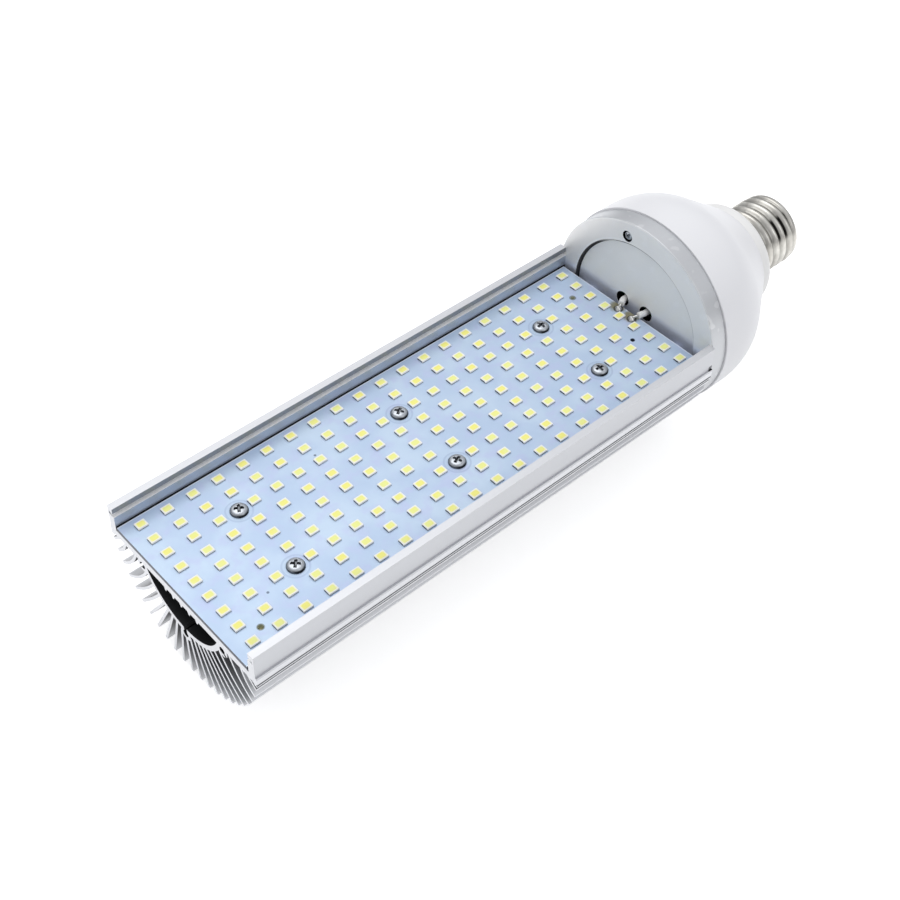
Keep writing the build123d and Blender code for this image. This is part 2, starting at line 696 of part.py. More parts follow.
with BuildPart() as line_choke:
    with BuildSketch(Plane.XY.offset(CARD_TOP)):
        with Locations((CARD_X1 - 10.5, 5.8 - CARD_W / 2)):
            Circle(3.8)
            Circle(1.6, mode=Mode.SUBTRACT)
    extrude(amount=4.2)
line_choke.part.label = "line_choke"

with BuildPart() as control_chip:
    with Locations((CARD_X0 + 4.1, 0.6, CARD_TOP)):
        Box(4.9, 3.9, 1.5, align=ON_CARD)
control_chip.part.label = "control_chip"


def lead(points, radius, bends):
    """A round wire along straight runs joined by arcs."""
    with BuildPart() as part:
        with BuildLine():
            route = FilletPolyline(*points, radius=bends)
        with BuildSketch(Plane(origin=route @ 0, z_dir=route % 0)):
            Circle(radius)
        sweep()
    return part


def about_axis(x, radius, degrees):
    """A point at this radius and angle about the lamp's axis."""
    return (x, radius * math.cos(math.radians(degrees)), radius * math.sin(math.radians(degrees)))


# mains leads from the driver board to the contact and to the screw shell
WIRE_Z = CARD_TOP + LEAD_R
NEUTRAL_DEG = 203
live_lead = lead(
    [(CARD_X1 - 4.0, 2.0, WIRE_Z), (CARD_X1 + 2.0, 2.0, WIRE_Z), (0, 0, 0), (STEM_X - 0.1, 0, 0)],
    LEAD_R, [5, 9],
)
live_lead.part.label = "live_lead"
neutral_lead = lead(
    [
        (CARD_X1 - 4.0, -4.0, WIRE_Z),
        (CARD_X1 + 2.5, -4.0, WIRE_Z),
        about_axis(-1.0, COLLAR_BORE_R - 1.65, NEUTRAL_DEG),
        about_axis(COLLAR_NOSE - 0.5, COLLAR_BORE_R - 1.65, NEUTRAL_DEG),
        about_axis(COLLAR_NOSE + 3.5, NOSE_R - LEAD_R, NEUTRAL_DEG),
    ],
    LEAD_R, [5, 5, 2.5],
)
neutral_lead.part.label = "neutral_lead"

# leads from the driver through the cap to the LED board, each with a bare tip in a solder
# joint: where each passes the cap, where its insulation ends and where its joint is
LED_LEAD_Z = BOARD_TOP + LED_LEAD_R + 0.15
STRIP_X = BOARD_END_X - 0.25
LED_LEADS = (
    (5.2, (STRIP_X, 4.1), (BOARD_END_X - 1.8, 3.8)),
    (-4.4, (STRIP_X, -3.8), (BOARD_END_X - 2.2, -2.7)),
)


def led_lead(hole_y, strip):
    """One insulated lead from the driver board to where its bare tip begins."""
    card_z = CARD_TOP + LED_LEAD_R
    return lead(
        [
            (CARD_X0 + 1.1, hole_y, card_z),
            (CARD_X0 - 2.1, hole_y, card_z),
            (INNER_X + 1.6, hole_y, LED_LEAD_Z),
            (CAP_FACE_X + 0.6, hole_y, LED_LEAD_Z),
            (*strip, LED_LEAD_Z),
        ],
        LED_LEAD_R, [1.6, 1.6, 2.5],
    )


lead_positive = led_lead(*LED_LEADS[0][:2])
lead_positive.part.label = "lead_positive"
lead_negative = led_lead(*LED_LEADS[1][:2])
lead_negative.part.label = "lead_negative"

with BuildPart() as lead_tips:
    for hole_y, strip, pad in LED_LEADS:
        start = Vector(*strip, LED_LEAD_Z)
        onward = (start - Vector(CAP_FACE_X + 0.6, hole_y, LED_LEAD_Z)).normalized()
        with BuildLine():
            bare = FilletPolyline(
                start, start + onward * 0.6, (*pad, BOARD_TOP + WIRE_R + FIT), radius=0.5
            )
        with BuildSketch(Plane(origin=bare @ 0, z_dir=bare % 0)):
            Circle(WIRE_R)
        sweep()
lead_tips.part.label = "lead_tips"

with BuildPart() as solder_joints:
    for hole_y, strip, pad in LED_LEADS:
        with Locations((*pad, BOARD_TOP)):
            Sphere(SOLDER_R)
    with Locations((BOARD_END_X, 0, BOARD_TOP)):
        Box(20, 20, 3, align=(Align.CENTER, Align.CENTER, Align.MAX), mode=Mode.SUBTRACT)
    add(lead_tips.part, mode=Mode.SUBTRACT)
solder_joints.part.label = "solder_joints"

for piece in (
    heat_sink, led_board, led_packages, led_phosphors, board_screws, end_cap, cap_screws,
    sink_screws, driver_housing, neck_collar, screw_shell, base_insulator, centre_contact,
    driver_board, transformer_winding, transformer_core, input_capacitor, output_capacitor,
    film_capacitor, bridge_rectifier, fuse_resistor, line_choke, control_chip, live_lead,
    neutral_lead, lead_positive, lead_negative, lead_tips, solder_joints,
):
    export_step(piece.part, "parts/" + piece.part.label + ".step")
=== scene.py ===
import math

import bpy
import bmesh
import numpy as np
from mathutils import Matrix


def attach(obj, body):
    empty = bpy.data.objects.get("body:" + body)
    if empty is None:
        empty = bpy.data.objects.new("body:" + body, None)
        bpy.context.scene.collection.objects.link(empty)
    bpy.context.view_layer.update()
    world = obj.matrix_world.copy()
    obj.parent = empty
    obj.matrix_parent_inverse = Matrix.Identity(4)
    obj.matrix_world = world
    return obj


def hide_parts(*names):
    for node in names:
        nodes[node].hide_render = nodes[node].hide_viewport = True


MM = 0.001

# Places and sizes are in millimetres, as the frame has them.

# heat sink
PLATE_TOP = -0.65
PLATE_LOW = -3.45
FOOT_LOW = PLATE_LOW - 1.0
RAIL_IN = 32.4
RAIL_FACE = 35.0
NOTCH_Z = -3.75
BEAD_TOP = -1.5
GROOVE_LOW = 4.9
GROOVE_HIGH = 6.3
CAVITY_Z = 4.26
CAVITY_R = 18.9
PORTS = ((19.63, -4.64), (-19.63, -4.64), (0, -17.29))
PORT_R = 1.35
FLOOR_Z = -35.7

# LED board, its LEDs and screws
BOARD_TOP = 0.95
BOARD_EDGE = 31.8
BOARD_END_X = -51.5
LED_COLS = 20
LED_ROWS = 9
LED_PITCH_X = 9.09
LED_PITCH_Y = 6.81
LED_X0 = -228.8
LED_Y0 = 0.85
LED_L = 3.5
LED_W = 2.8
LED_H = 0.7
TERMINAL_H = 0.46
GEL_L = 2.86
GEL_W = 2.22
GEL_RIM_H = 0.69
SCREW_ROWS = (2, 6)
SCREW_ROW_STEPS = (0, 1, 2, 3.36, 4.29, 5.2, 6.1, 7.0, 7.91, 8.81,
                   10.24, 11.14, 12.04, 12.94, 13.84, 14.73, 15.62, 16.98, 18, 19)
BOARD_SCREW_X = (-204.0, -142.2, -80.0)
BOARD_SCREW_Y = (14.07, -13.17)
BOARD_SCREW = {"head_r": 2.85, "height": 1.5, "shank_r": 1.45, "length": 6.0,
               "cross": 1.6, "arm_w": 0.75, "depth": 1.1}
TRACK_R = 4.1
# small marks on the board, as (x, y): two vias, and two holes whose walls and the metal under them are
# painted pale, as painted light in the holes
BOARD_VIAS = ((-215.6, -15.5), (-173.3, 17.2))
HOLES_WITH_PAINTED_LIGHT = ((-224.2, -23.7), (-61.1, 17.88))

# end cap, its screws, and the leads that come out of it
CAP_FACE_X = -50.2
CAP_RIM_R = 34.75
RECESS_R = 26.8
CAP_SCREW_R = 29.6
CAP_SCREW_DEG = (77, 197, 317)
CAP_SCREW_SINK = 1.6
CAP_SCREW = {"head_r": 1.8, "height": 1.5, "shank_r": 1.15, "length": 9.5,
             "cross": 1.2, "arm_w": 0.6, "depth": 0.9}
CAP_BORE_R = 2.0
LEAD_HOLES = ((5.85, 2.1), (-4.75, 2.1))
LEAD_HOLE_R = 2.7
LEAD_NAMES = ("lead_positive", "lead_negative")
LEAD_Y = (5.2, -4.4)
LEAD_Z = 2.2
LEAD_R = 1.1
# where a lead leaves the driver board, starts and ends its climb, and turns to its joint
LEAD_CARD_Z = -4.1
LEAD_CARD_X = -39.4
LEAD_LOW_X = -42.6
LEAD_HIGH_X = -45.6
LEAD_TURN_X = -49.6
LEAD_STRIPS = ((-51.75, 4.1), (-51.75, -3.8))
LEAD_PADS = ((-53.3, 3.8), (-53.7, -2.7))
WIRE_R = 0.45
SOLDER_R = 1.32
SOLDER_H = 1.25

# driver housing, from its seam at the cap to the neck; the spigot stands in the cap
HOUSING_R = 35.7
HOUSING_WALL = 2.2
SEAM_X = -43.6
BULGE_X = -35.75
BULGE_R = 25.0
NECK_X = -5.6
NECK_R = 20.1
NECK_BORE_R = 16.0
NECK_T = 2.8
SPIGOT_X = -47.2
SPIGOT_R = 33.3
SPIGOT_BORE_R = 31.7

# turned pieces, as outlines of (x, radius, fillet)
NECK_COLLAR = [
    (-5.6, 19.5, 0), (-5.4, 19.7, 0), (0, 19.7, 3.0), (0, 11.7, 0.3), (9.0, 11.7, 0.3),
    (9.0, 9.8, 0), (-9.1, 9.8, 0), (-9.1, 15.9, 0.3), (-5.6, 15.9, 0),
]
BASE_INSULATOR = [
    (19.0, 1.2, 0), (19.0, 10.2, 0.2), (22.4, 10.75, 0.3), (23.1, 10.3, 0.5), (25.2, 6.2, 0.8),
    (25.8, 5.2, 0.2), (25.8, 1.2, 0),
]
CENTRE_CONTACT = [
    (18.5, 0, 0), (18.5, 1.1, 0), (25.8, 1.1, 0), (25.8, 4.8, 0.2), (26.9, 4.7, 0.6),
    (27.38, 2.4, 1.2), (27.4, 0, 0),
]
TURN_STEPS = 180

# threaded shell
SHELL_BAND = 2.4
SHELL_PITCH = 3.629
SHELL_R = 13.1
SHELL_ROOT_R = 12.15
SHELL_END = 22.6
SHELL_END_R = 10.9
SHELL_BEND_R = 1.6
SHELL_DRAW_IN = 0.25
SHELL_T = 0.4

# the camera that took the photograph
CAMERA_AT = (-349.89, -230.79, 326.93)
CAMERA_RIGHT = (0.7507, -0.6605, 0.0144)
CAMERA_UP = (0.4599, 0.5382, 0.7063)
CAMERA_LENS = 58.24
CAMERA_SHIFT = (0.01924, -0.0507)


# Shader maths

class Value:
    """A shader socket that takes part in sums: each operator adds its Math node."""

    def __init__(self, shader, socket):
        self.shader = shader
        self.socket = socket

    def maths(self, operation, *terms):
        return self.shader.node("ShaderNodeMath", {"operation": operation}, dict(enumerate(terms)))

    def __add__(self, other):
        return self.maths("ADD", self, other)

    __radd__ = __add__

    def __sub__(self, other):
        return self.maths("SUBTRACT", self, other)

    def __rsub__(self, other):
        return self.maths("SUBTRACT", other, self)

    def __mul__(self, other):
        return self.maths("MULTIPLY", self, other)

    __rmul__ = __mul__

    def __truediv__(self, other):
        return self.maths("DIVIDE", self, other)

    def __rtruediv__(self, other):
        return self.maths("DIVIDE", other, self)

    def __pow__(self, other):
        return self.maths("POWER", self, other)

    def __lt__(self, other):
        return self.maths("LESS_THAN", self, other)

    def __gt__(self, other):
        return self.maths("GREATER_THAN", self, other)

    def __abs__(self):
        return self.maths("ABSOLUTE", self)

    def root(self):
        return self.maths("SQRT", self)

    def wave(self):
        return self.maths("SINE", self)

    def nearest(self):
        return self.maths("ROUND", self)

    def at_least(self, other):
        return self.maths("MAXIMUM", self, other)


class Shader:
    """A node tree that is filled through one method."""

    def __init__(self, owner):
        owner.use_nodes = True
        self.tree = owner.node_tree
        self.tree.nodes.clear()

    def node(self, kind, settings=None, inputs=None, output=0):
        """Adds a node: its settings first, then a value or a link for each named socket."""
        node = self.tree.nodes.new(kind)
        for name, setting in (settings or {}).items():
            setattr(node, name, setting)
        for name, value in (inputs or {}).items():
            if isinstance(value, Value):
                self.tree.links.new(value.socket, node.inputs[name])
            else:
                node.inputs[name].default_value = value
        return node if output is None else Value(self, node.outputs[output])

    def parts(self, vector):
        """The x, y and z of a vector."""
        split = self.node("ShaderNodeSeparateXYZ", inputs={0: vector}, output=None)
        return [Value(self, part) for part in split.outputs]

    def blend(self, factor, first, second):
        """Mixes two colours."""
        return self.node("ShaderNodeMix", {"data_type": "RGBA"},
                         {0: factor, 6: first, 7: second}, output=2)

    def between(self, value, low, high, start=0.0, end=1.0):
        """A smooth step from start to end as value runs from low to high."""
        return self.node("ShaderNodeMapRange", {"interpolation_type": "SMOOTHSTEP"},
                         {"Value": value, "From Min": low, "From Max": high,
                          "To Min": start, "To Max": end})


class Finish(Shader):
    """A procedural material in the making, with the place in millimetres as x, y and z."""

    def __init__(self, name):
        self.material = bpy.data.materials.new(name)
        super().__init__(self.material)
        self.place = self.node("ShaderNodeTexCoord", output="Object")
        self.x, self.y, self.z = [part / MM for part in self.parts(self.place)]

    def stretched(self, across):
        """The place, scaled by three numbers, in metres."""
        return self.node("ShaderNodeMapping", {"vector_type": "POINT"},
                         {"Vector": self.place, "Scale": across})

    def noise(self, scale, detail=2.0, rough=0.5, place=None):
        return self.node("ShaderNodeTexNoise", None,
                         {"Vector": place or self.place, "Scale": scale, "Detail": detail,
                          "Roughness": rough})

    def facing(self):
        """The three parts of the surface's own direction."""
        return self.parts(self.node("ShaderNodeNewGeometry", output="Normal"))

    def tint(self, shade, colour):
        """A colour, darkened or lightened by a value around 1."""
        grey = self.node("ShaderNodeCombineXYZ", None, {0: shade, 1: shade, 2: shade})
        return self.node("ShaderNodeVectorMath", {"operation": "MULTIPLY"},
                         {0: grey, 1: colour if isinstance(colour, Value) else colour[:3]})

    def bump(self, height, distance, strength=1.0):
        """Relief of a height from 0 to 1 over a distance in millimetres."""
        return self.node("ShaderNodeBump", None,
                         {"Height": height, "Distance": distance * MM, "Strength": strength})

    def done(self, **sockets):
        """Closes the material with a Principled shader; a socket's name has underscores for spaces."""
        inputs = {name.replace("_", " "): value for name, value in sockets.items()}
        surface = self.node("ShaderNodeBsdfPrincipled", None, inputs)
        self.node("ShaderNodeOutputMaterial", None, {"Surface": surface}, output=None)
        return self.material


def rgb(red, green, blue):
    """A colour given as the screen shows it, 0 to 255, as the linear numbers a shader takes."""
    shares = (channel / 255 for channel in (red, green, blue))
    linear = (s / 12.92 if s <= 0.04045 else ((s + 0.055) / 1.055) ** 2.4 for s in shares)
    return (*linear, 1)


def away(across, up, centre):
    """How far a place is from a centre, in two directions."""
    return ((across - centre[0]) ** 2 + (up - centre[1]) ** 2).root()


# Materials

def extruded_aluminium():
    """Satin aluminium with die lines along its length, painted shade deep in the section and in its
    gaps, and painted shade, reflection and highlight on the rails.
    """
    f = Finish("extruded_aluminium")
    along, across, up = f.facing()
    drawn = f.noise(1.0, 3.0, 0.6, f.stretched((12, 2600, 2600)))
    broad = f.noise(1.0, 2.0, 0.5, f.stretched((9, 240, 240)))
    grain = f.noise(9000, 2.0)
    cut_end = f.between(abs(along), 0.45, 0.55)
    # painted shade: the cavity under the plate and the screw ports are painted near black
    hollow = (away(f.y, f.z, (0, CAVITY_Z)) < CAVITY_R + 0.05) * (f.z < PLATE_LOW + 0.02)
    for port in PORTS:
        hollow = hollow.at_least(away(f.y, f.z, port) < PORT_R)

    # painted shade between the fins, beside and at the end of the board, and in the notch and the gap
    # at the rail's foot
    radius = away(f.y, f.z, (0, 0))
    crevice_shade = f.between(radius, 20.0, 35.5, 0.52, 0.0) + f.between(radius, 34.2, 35.6, 0.24, 0.0)
    crevice_shade = crevice_shade * (f.z < FOOT_LOW) * (1 - hollow)
    edge = abs(f.y)
    seam = (edge > BOARD_EDGE - 0.2) * (edge < RAIL_IN + 0.05)
    seam = seam.at_least(f.x > BOARD_END_X - 0.2) * (f.z < BOARD_TOP) * (f.z > PLATE_TOP - 0.05)
    notch = f.between(abs(f.z - NOTCH_Z), 0.46, 0.2) * (edge > RAIL_FACE)
    foot_gap = (f.z < FOOT_LOW - 0.02) * (edge > RAIL_FACE - 1.4) * (f.z > FOOT_LOW - 1.55)
    notch = notch.at_least(foot_gap)
    # all the painted shade together, kept off the cut ends
    dark = (hollow * 0.94).at_least(crevice_shade).at_least(seam * 0.95).at_least(notch * 0.84)
    dark = dark * (1 - cut_end)

    # the rails: painted shade on the lip over the groove, a painted blue reflection of the board on
    # the wall and a painted highlight on the ledge under it, and painted shade on the outer face
    inward = f.y * across < -10.0
    lip = inward * (f.z > GROOVE_HIGH)
    wall = inward * (f.z < GROOVE_LOW) * (f.z > BOARD_TOP)
    ledge = (up > 0.5) * (f.z > GROOVE_LOW - 0.1) * (f.z < GROOVE_HIGH)
    outer = (edge > RAIL_FACE) * (f.z > BEAD_TOP) * (abs(across) > 0.5) * (1 - notch)

    metal = f.tint(0.90 + 0.10 * drawn + 0.10 * broad, rgb(218, 219, 222))
    metal = f.blend(dark, metal, rgb(24, 27, 30))
    metal = f.blend(lip * 0.62, metal, rgb(92, 94, 100))
    metal = f.blend(wall * 0.45, metal, rgb(168, 186, 208))
    metal = f.blend(ledge, metal, rgb(254, 254, 254))
    metal = f.blend(outer * 0.4, metal, rgb(160, 162, 166))
    # painted light: the plate under each of the two holes is painted pale
    for hole in HOLES_WITH_PAINTED_LIGHT:
        under = (away(f.x, f.y, hole) < 1.3) * (f.z > PLATE_TOP - 0.05)
        metal = f.blend(under, metal, rgb(236, 232, 200))
    return f.done(
        Base_Color=metal,
        # the ledge's painted highlight is plain white and not metallic
        Metallic=0.80 * (1 - ledge),
        Roughness=0.34 + 0.16 * drawn + 0.06 * grain,
        Normal=f.bump(0.7 * drawn + 0.3 * grain, 0.02, 0.6),
    )


def board_mask():
    """A pale blue-white mask, with flux by the joints, a few marks, a painted highlight along its
    edges and a dark cut edge.
    """
    f = Finish("board_mask")
    cloud = f.noise(62, 3.0)
    patches = f.noise(210, 2.0)
    fine = f.noise(2600, 2.0)
    colour = f.blend(f.between(cloud, 0.35, 0.68), rgb(186, 206, 231), rgb(198, 217, 237))
    colour = f.blend(f.between(patches, 0.45, 0.75, 0.0, 0.55), colour, rgb(192, 200, 234))
    for x in BOARD_SCREW_X:
        for y in BOARD_SCREW_Y:
            track = f.between(abs(away(f.x, f.y, (x, y)) - TRACK_R), 0.45, 0.15)
            colour = f.blend(track * 0.35, colour, rgb(150, 168, 200))
    for via in BOARD_VIAS:
        spot = f.between(away(f.x, f.y, via), 0.55, 0.3, 0.0, 0.8)
        colour = f.blend(spot, colour, rgb(84, 96, 118))
    cut = rgb(50, 58, 78)
    # a dull olive ring round each hole on the mask, and painted light on the hole's wall
    for hole in HOLES_WITH_PAINTED_LIGHT:
        ring = f.between(away(f.x, f.y, hole), 1.35, 1.0, 0.0, 0.8)
        colour = f.blend(ring, colour, rgb(104, 112, 104))
        cut = f.blend(ring, cut, rgb(206, 208, 180))
    # painted highlight: a pale line along the board's long edges and along its end by the cap
    edge = (abs(f.y) > BOARD_EDGE - 0.4).at_least(f.x > BOARD_END_X - 0.35)
    colour = f.blend(edge * 0.7, colour, rgb(240, 245, 252))
    for pad_x, pad_y in LEAD_PADS:
        flux = away(f.x, f.y, (pad_x + 0.8, pad_y + 1.0)) + 1.6 * f.noise(900, 2.0)
        colour = f.blend(f.between(flux, 4.6, 2.4, 0.0, 0.9), colour, rgb(132, 124, 80))
        outline = f.between(away(f.x, f.y, (pad_x, pad_y)), 1.9, 1.5, 0.0, 0.85)
        colour = f.blend(outline, colour, rgb(46, 46, 42))
    flat = f.between(abs(f.facing()[2]), 0.5, 0.6)
    colour = f.blend(flat, cut, colour)
    return f.done(
        Base_Color=colour,
        Roughness=0.34 + 0.12 * fine,
        Metallic=0.3 * flat,
        Normal=f.bump(fine, 0.01, 0.5),
    )


def led_frame():
    """White moulding, with a dark metal terminal low on each end and a line of painted shadow at its
    foot.
    """
    f = Finish("led_frame")
    fine = f.noise(4000, 2.0)
    along, _, up = f.facing()
    row = (f.y - LED_Y0) / LED_PITCH_Y
    off_centre = abs(row - row.nearest()) * LED_PITCH_Y
    terminal = (abs(along) > 0.5) * (off_centre < 1.0) * (f.z < BOARD_TOP + TERMINAL_H)
    # painted shadow: a dark line round the package's foot
    foot = (f.z < BOARD_TOP + 0.16) * (abs(up) < 0.5)
    dark = terminal.at_least(foot)
    white = f.tint(0.96 + 0.04 * fine, rgb(250, 250, 246))
    return f.done(
        Base_Color=f.blend(dark, white, rgb(44, 46, 56)),
        Roughness=0.42 + 0.1 * fine,
        Metallic=0.4 * dark,
    )


def led_phosphor():
    """Lemon-yellow gel that pales towards its rim."""
    f = Finish("led_phosphor")
    batch = f.noise(160, 1.0)
    fine = f.noise(5200, 2.0)
    colour = f.blend(f.between(batch, 0.38, 0.64), rgb(245, 248, 154), rgb(252, 246, 134))
    middle = f.between(f.z, BOARD_TOP + GEL_RIM_H, BOARD_TOP + GEL_RIM_H + 0.048)
    colour = f.blend(middle, rgb(253, 253, 216), colour)
    colour = f.blend(f.between(fine, 0.5, 0.8, 0.0, 0.25), colour, rgb(250, 248, 196))
    return f.done(Base_Color=colour, Roughness=0.5, Normal=f.bump(fine, 0.02, 0.5))


def screw_steel():
    """Bright plated steel, with painted shade in a head's cross, low by the board, deep in the cap's
    counterbores and where it falls away to its side.
    """
    f = Finish("screw_steel")
    fine = f.noise(1800, 3.0)
    along, _, up = f.facing()
    outward = up.at_least(0 - along)
    # painted shade on the faces that turn away to the side
    wall = f.between(outward, 0.45, 0.85, 0.16, 1.0)
    # painted shade low on the board's screws and on the cap's screws inside their counterbores,
    # crosses included
    on_board = f.x < CAP_FACE_X - 9.8
    deep = ((f.z < BOARD_TOP + 0.7) * on_board).at_least(f.x > CAP_FACE_X + 0.7)
    shade = (0.64 + 0.42 * fine) * wall * (1 - 0.7 * deep)
    return f.done(
        Base_Color=f.tint(shade, rgb(202, 207, 213)),
        Metallic=1.0,
        Roughness=0.22 + 0.22 * fine,
        Normal=f.bump(fine, 0.03, 0.5),
    )


def cap_aluminium():
    """A turned satin face with painted shade and a painted highlight at the step of its sunk centre,
    and painted shade on its rim.
    """
    f = Finish("cap_aluminium")
    radius = away(f.y, f.z, (0, 0))
    rings = (radius * 38 + 3 * f.noise(40, 2.0)).wave()
    cloud = f.noise(60, 3.0)
    fine = f.noise(3200, 2.0)
    shade = 0.92 + 0.10 * cloud + 0.02 * rings + 0.05 * fine
    spots = f.between(f.noise(330, 0.0), 0.68, 0.76)
    rim = f.between(radius, CAP_RIM_R, CAP_RIM_R + 0.25)
    side = f.between(abs(f.y), 24.0, 34.0)
    # painted shade: the rim band darker, and darker still at its sides
    shade = shade * (1 - 0.26 * rim - 0.12 * rim * side)
    face = f.blend(rim, rgb(246, 245, 243), rgb(241, 243, 246))
    # painted light: a blue-white cast low on the face above the board offsets the brown shade there
    foot = f.between(f.z, BOARD_TOP, BOARD_TOP + 4.0, 0.7, 0.0) * (1 - rim)
    face = f.blend(foot, face, rgb(222, 232, 255))
    colour = f.blend(spots * 0.25, f.tint(shade, face), rgb(252, 252, 252))

    # the step is a thin patchy line of painted shade that is wider and black on the left, with a
    # painted highlight on its edge there
    left = f.between(f.y, -22.0, 14.0, 0.3, 1.0)
    sunk = f.x < CAP_FACE_X + 1.1
    step = f.between(abs(radius - RECESS_R), 0.36, 0.14) * sunk
    shade_patches = f.between(f.noise(90, 2.0), 0.36, 0.6, 0.6, 1.0)
    crescent_shade = f.between(abs(radius - RECESS_R + 0.1), 0.56, 0.42) * f.between(f.y, 12.0, 19.0)
    step = (step * shade_patches * left).at_least(crescent_shade * sunk)
    colour = f.blend(step * 0.96, colour, rgb(20, 22, 28))
    shine = f.between(abs(radius - RECESS_R - 0.8), 0.42, 0.12) * f.between(f.y, 4.0, 16.0)
    colour = f.blend(shine * sunk * 0.8, colour, rgb(252, 253, 254))
    # painted shade: the counterbores round the screws are near black
    for degrees in CAP_SCREW_DEG:
        a = math.radians(degrees)
        out = away(f.y, f.z, (CAP_SCREW_R * math.cos(a), CAP_SCREW_R * math.sin(a)))
        bore = (out < CAP_BORE_R + 0.03) * (f.x < CAP_FACE_X + 2.0)
        colour = f.blend(bore, colour, rgb(16, 17, 20))
    # each lead hole: a painted highlight round its brim and painted shade, near black, inside
    for hole in LEAD_HOLES:
        out = away(f.y, f.z, hole)
        brim = f.between(abs(out - LEAD_HOLE_R - 0.3), 0.3, 0.12, 0.0, 0.7)
        colour = f.blend(brim, colour, rgb(250, 251, 252))
        colour = f.blend(out < LEAD_HOLE_R + 0.03, colour, rgb(8, 8, 10))
    return f.done(
        Base_Color=colour,
        Metallic=(0.45 + 0.35 * rim) * (1 - step),
        Roughness=0.36 + 0.10 * cloud + 0.03 * rings + 0.6 * step,
        Normal=f.bump(0.3 * rings + 0.4 * fine, 0.012, 0.5),
    )


def housing_plastic(name, colour):
    """Satin white moulding with a faint cloud and a fine grain."""
    f = Finish(name)
    cloud = f.noise(30, 2.0)
    grain = f.noise(2600, 3.0)
    return f.done(
        Base_Color=f.tint(0.975 + 0.04 * cloud, colour),
        Roughness=0.36 + 0.1 * grain,
        Normal=f.bump(grain, 0.015, 0.4),
        Coat_Weight=0.12,
        Coat_Roughness=0.3,
    )


def shell_nickel():
    """Worn nickel whose thread is darker in its valleys, with a painted dark reflection in the grooves
    on the upper right and painted shade towards its underside.
    """
    f = Finish("shell_nickel")
    cloud = f.noise(260, 3.0)
    fine = f.noise(1.0, 3.0, 0.6, f.stretched((300, 900, 900)))
    radius = away(f.y, f.z, (0, 0))
    valley = f.between(radius, SHELL_R - 0.1, SHELL_ROOT_R + 0.1)
    groove = f.between(radius, SHELL_ROOT_R + 0.45, SHELL_ROOT_R + 0.15)
    # painted dark reflection: the grooves are black on the upper right
    upper_right = f.between(f.y, -4.0, -6.5) * f.between(f.y, -12.3, -10.5) * (f.z > 0)
    upper_right = upper_right * f.between(f.x, 8.0, 13.0, 0.25, 1.0)
    dark_valleys_and_painted_reflection = (valley * 0.34).at_least(groove * upper_right)
    # painted shade: darker towards the underside
    under = f.between(f.z, 2.0, -9.0, 1.0, 0.72)
    colour = f.blend(f.between(cloud, 0.4, 0.7), rgb(196, 193, 186), rgb(222, 220, 213))
    return f.done(
        Base_Color=f.blend(dark_valleys_and_painted_reflection, f.tint(under, colour), rgb(26, 25, 23)),
        Metallic=1.0,
        Roughness=0.25 + 0.14 * cloud,
        Normal=f.bump(fine, 0.04, 0.5),
    )


def plain_piece(name, colour, metal, rough, relief=0.01):
    """A piece of one colour with a fine grain in its shade, gloss and relief."""
    f = Finish(name)
    fine = f.noise(1500, 3.0)
    return f.done(
        Base_Color=f.tint(0.9 + 0.2 * fine, colour),
        Metallic=metal,
        Roughness=rough + 0.12 * (fine - 0.5),
        Normal=f.bump(fine, relief, 0.5),
    )


# Shapes

def new_piece(name, points, faces, material, slot, stands_for, sharp=32):
    """A smooth-shaded mesh from arrays in millimetres, in place of a node of the frame."""
    mesh = bpy.data.meshes.new(name)
    mesh.from_pydata((np.asarray(points, float) * MM).tolist(), [], faces)
    build = bmesh.new()
    build.from_mesh(mesh)
    bmesh.ops.remove_doubles(build, verts=build.verts, dist=1e-7)
    bmesh.ops.recalc_face_normals(build, faces=build.faces)
    build.to_mesh(mesh)
    build.free()
    mesh.shade_smooth()
    mesh.set_sharp_from_angle(angle=math.radians(sharp))
    mesh.materials.append(material)
    piece = bpy.data.objects.new(name, mesh)
    bpy.context.scene.collection.objects.link(piece)
    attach(piece, "root")
    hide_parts(stands_for)


def grid_faces(rows, cols, wrap_rows=False, wrap_cols=False):
    """Quads over a grid of rows by cols points, with either way closed on itself."""
    r = np.arange(rows if wrap_rows else rows - 1)
    c = np.arange(cols if wrap_cols else cols - 1)
    r, c = np.meshgrid(r, c, indexing="ij")
    r2, c2 = (r + 1) % rows, (c + 1) % cols
    quads = np.stack([r * cols + c, r2 * cols + c, r2 * cols + c2, r * cols + c2], -1)
    return quads.reshape(-1, 4).tolist()


def rounded(corners, fillets, steps=6):
    """A path through corners in two or three dimensions, with a tangent arc at each inner one."""
    corners = np.asarray(corners, float)
    path = [corners[0]]
    for before, here, after, fillet in zip(corners, corners[1:], corners[2:], fillets[1:]):
        if fillet == 0:
            path.append(here)
            continue
        back = (before - here) / np.linalg.norm(before - here)
        on = (after - here) / np.linalg.norm(after - here)
        half = math.acos(np.clip(back @ on, -1, 1)) / 2
        centre = here + (back + on) / np.linalg.norm(back + on) * fillet / math.sin(half)
        first = here + back * fillet / math.tan(half) - centre
        last = here + on * fillet / math.tan(half) - centre
        turn = math.pi - 2 * half
        for share in np.linspace(0, 1, steps):
            path.append(centre + (first * math.sin((1 - share) * turn)
                                  + last * math.sin(share * turn)) / math.sin(turn))
    path.append(corners[-1])
    return np.array(path)


